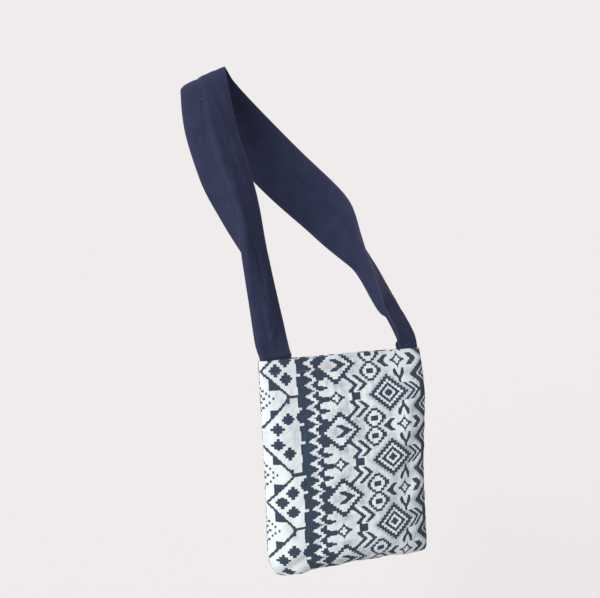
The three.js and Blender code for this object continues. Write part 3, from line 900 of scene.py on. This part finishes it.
def makeStrap():
    rows, columns = strap["rows"], strap["columns"]
    places, length = strapSurface(rows, columns)
    way = sheetNormals(places)
    c, r = np.meshgrid(np.linspace(0, 1, columns + 1), np.linspace(0, length, rows + 1))
    places = places + way * creaseLift(c, r, length)[..., None]

    piece = gridSheet("shoulderStrap", columns, rows)
    order = sheetOrder(piece, columns, rows)
    placeSheet(piece, order, places, np.stack([c, r / length], -1))
    toEdge = np.minimum(c, 1 - c) * strap["width"]
    edge = np.clip(1 - toEdge / strap["edgeWorn"], 0, 1)
    worn = piece.data.attributes.new("edge", "FLOAT", "POINT")
    worn.data.foreach_set("value", edge[order].astype(np.float32))
    pressed = strap["stitchPress"] * np.exp(-((toEdge - strap["stitchIn"]) / strap["stitchReach"]) ** 2)
    addGroup(piece, "plump", order, 1 - pressed)
    pick(piece)
    wall = piece.modifiers.new("wall", "SOLIDIFY")
    wall.thickness = strap["wall"]
    wall.offset = 0
    wall.vertex_group = "plump"
    soft = piece.modifiers.new("soft", "BEVEL")
    soft.width = strap["softEdge"]
    soft.segments = 2
    soft.limit_method = "ANGLE"
    soft.angle_limit = math.radians(60)
    finishModifiers(piece)
    piece.vertex_groups.clear()
    piece.data.materials.append(strapCotton)
    pick(piece)
    bpy.ops.object.shade_smooth_by_angle(angle=math.radians(60))
    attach(piece, "root")
    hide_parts("strap")
    print("strap made,", round(length, 3), "m along its crease,", len(piece.data.polygons), "faces")
    return piece, places, way


strapPiece, strapPlaces, strapWay = makeStrap()


# stitches: length, thickness, how far the ends dive and the middle stands proud, gap between two
hemStitch = dict(length=0.0024, thick=0.0005, bow=0.00022, proud=0.00012, gap=0.0008)
strapStitch = dict(length=0.0024, thick=0.00045, bow=0.0002, proud=0.0001, gap=0.0008)


def oneStitch(stitch):
    # a short rounded thread along x, modelled once and read back for its copies
    length, thick = stitch["length"], stitch["thick"]
    clearSelection()
    bpy.ops.mesh.primitive_cylinder_add(vertices=6, radius=thick / 2, depth=length, end_fill_type="NGON")
    thread = bpy.context.object
    bpy.ops.object.mode_set(mode="EDIT")
    bpy.ops.mesh.select_all(action="SELECT")
    bpy.ops.mesh.bevel(offset=thick * 0.28, segments=1, affect="EDGES")
    bpy.ops.object.mode_set(mode="OBJECT")
    points = np.array([v.co[:] for v in thread.data.vertices])[:, [2, 0, 1]]
    faces = [tuple(f.vertices) for f in thread.data.polygons]
    bpy.data.objects.remove(thread)
    points[:, 2] -= stitch["bow"] * (points[:, 0] / (length / 2)) ** 2  # its ends dive into the cloth
    return points, faces


def sewLine(name, lines, stitch, thread):
    # lines: places and ways out of each row of stitches, sewn end to end
    points, faces = oneStitch(stitch)
    half, gap = stitch["length"] / 2, stitch["gap"]
    allPoints, allFaces = [], []
    for spots, ways in lines:
        run = np.concatenate([[0], np.cumsum(np.linalg.norm(np.diff(spots, axis=0), axis=1))])

        def read(table, at):
            return np.array([np.interp(at, run, table[:, k]) for k in range(3)])

        for at in np.arange(gap, run[-1] - gap, stitch["length"] + gap):
            a, b, up = read(spots, at - half), read(spots, at + half), read(ways, at)
            along = (b - a) / np.linalg.norm(b - a)
            up = up - along * (up @ along)
            up /= np.linalg.norm(up)
            start = len(allPoints) * len(points)
            allFaces += [tuple(i + start for i in f) for f in faces]
            turned = points @ np.array([along, np.cross(up, along), up])
            allPoints.append((a + b) / 2 + turned + up * stitch["proud"])
    clearSelection()
    bpy.ops.mesh.primitive_plane_add(size=0.001)
    piece = bpy.context.object
    piece.name = piece.data.name = name
    piece.data.clear_geometry()
    piece.data.from_pydata(np.concatenate(allPoints).tolist(), [], allFaces)
    piece.data.update()
    piece.data.materials.append(thread)
    pick(piece)
    bpy.ops.object.shade_smooth_by_angle(angle=math.radians(40))
    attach(piece, "root")
    print(name, "sewn,", len(allPoints), "stitches")


def surfaceLine(piece, spots, ways):
    # the finished cloth under each spot, looked for from just outside it to just inside
    near = 0.006
    found = []
    for spot, way in zip(spots, ways):
        hit, place, normal, index = piece.ray_cast(Vector(spot + way * near), Vector(-way), distance=2 * near)
        found.append((*(place if hit else spot), *(normal if hit else way)))
    found = np.array(found)
    return found[:, :3], found[:, 3:]


hemRow = round((pouch["hemDepth"] - pouch["hemStitchUp"]) / pouch["clothHeight"] * pouch["rows"])
frontHem = ("frontHemStitches", frontPanel, frontOuter, frontOut)
backHem = ("backHemStitches", backPanel, backOuter, backOut)
for name, panel, outer, out in (frontHem, backHem):
    line = surfaceLine(panel, outer[hemRow, 1:-1], out[hemRow, 1:-1])
    sewLine(name, [line], hemStitch, whiteThread)

# both long edges of the strap, on both faces
strapLines = []
sewnAt = strap["stitchIn"] / strap["width"] * strap["columns"]
for column in (sewnAt, strap["columns"] - sewnAt):
    low = int(column)
    spots = strapPlaces[:, low] + (strapPlaces[:, low + 1] - strapPlaces[:, low]) * (column - low)
    for hand in (1, -1):
        strapLines.append(surfaceLine(strapPiece, spots[2:-2], strapWay[2:-2, low] * hand))
sewLine("strapStitches", strapLines, strapStitch, navyThread)


# pale floor, well below the hanging bag, and soft light
studio = dict(
    floorZ=-1.25, floorSize=160, floor=(0.868, 0.829, 0.825, 1),
    backdrop=(0.880, 0.840, 0.840, 1), ambient=(0.395, 0.392, 0.402, 1),
    lights=(dict(name="keyLight", power=3.08, spread=40, toward=(0.78, 0.49, -0.30)),
            dict(name="backFill", power=2.2, spread=60, toward=(-0.5, -0.75, -0.45))),
)

clearSelection()
bpy.ops.mesh.primitive_plane_add(size=studio["floorSize"], location=(0, 0, studio["floorZ"]))
floor = bpy.context.object
floor.name = "studioFloor"
material, nodes, links, shader = startMaterial("paleFloor")
shader.inputs["Base Color"].default_value = studio["floor"]
shader.inputs["Roughness"].default_value = 1.0
shader.inputs["Specular IOR Level"].default_value = 0.0
floor.data.materials.append(material)
floor.visible_diffuse = False  # no bounce from below, so folds keep their shade
floor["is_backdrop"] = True

# pale backdrop to look at, and a softer ambient light
world = bpy.data.worlds.new("paleStudio")
world.use_nodes = True
nodes, links = world.node_tree.nodes, world.node_tree.links
ambient = nodes["Background"]
ambient.inputs[0].default_value = studio["ambient"]
backdrop = nodes.new("ShaderNodeBackground")
backdrop.inputs[0].default_value = studio["backdrop"]
seen = nodes.new("ShaderNodeLightPath")
either = nodes.new("ShaderNodeMixShader")
links.new(seen.outputs["Is Camera Ray"], either.inputs[0])
links.new(ambient.outputs[0], either.inputs[1])
links.new(backdrop.outputs[0], either.inputs[2])
links.new(either.outputs[0], nodes["World Output"].inputs[0])
scene.world = world

for lamp in studio["lights"]:
    bpy.ops.object.light_add(type="SUN")
    lit = bpy.context.object
    lit.name = lamp["name"]
    lit.data.energy = lamp["power"]
    lit.data.angle = math.radians(lamp["spread"])
    lit.rotation_euler = Vector(lamp["toward"]).to_track_quat("-Z", "Y").to_euler()
scene.view_settings.view_transform = "Standard"
print("studio lit")

low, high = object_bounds()
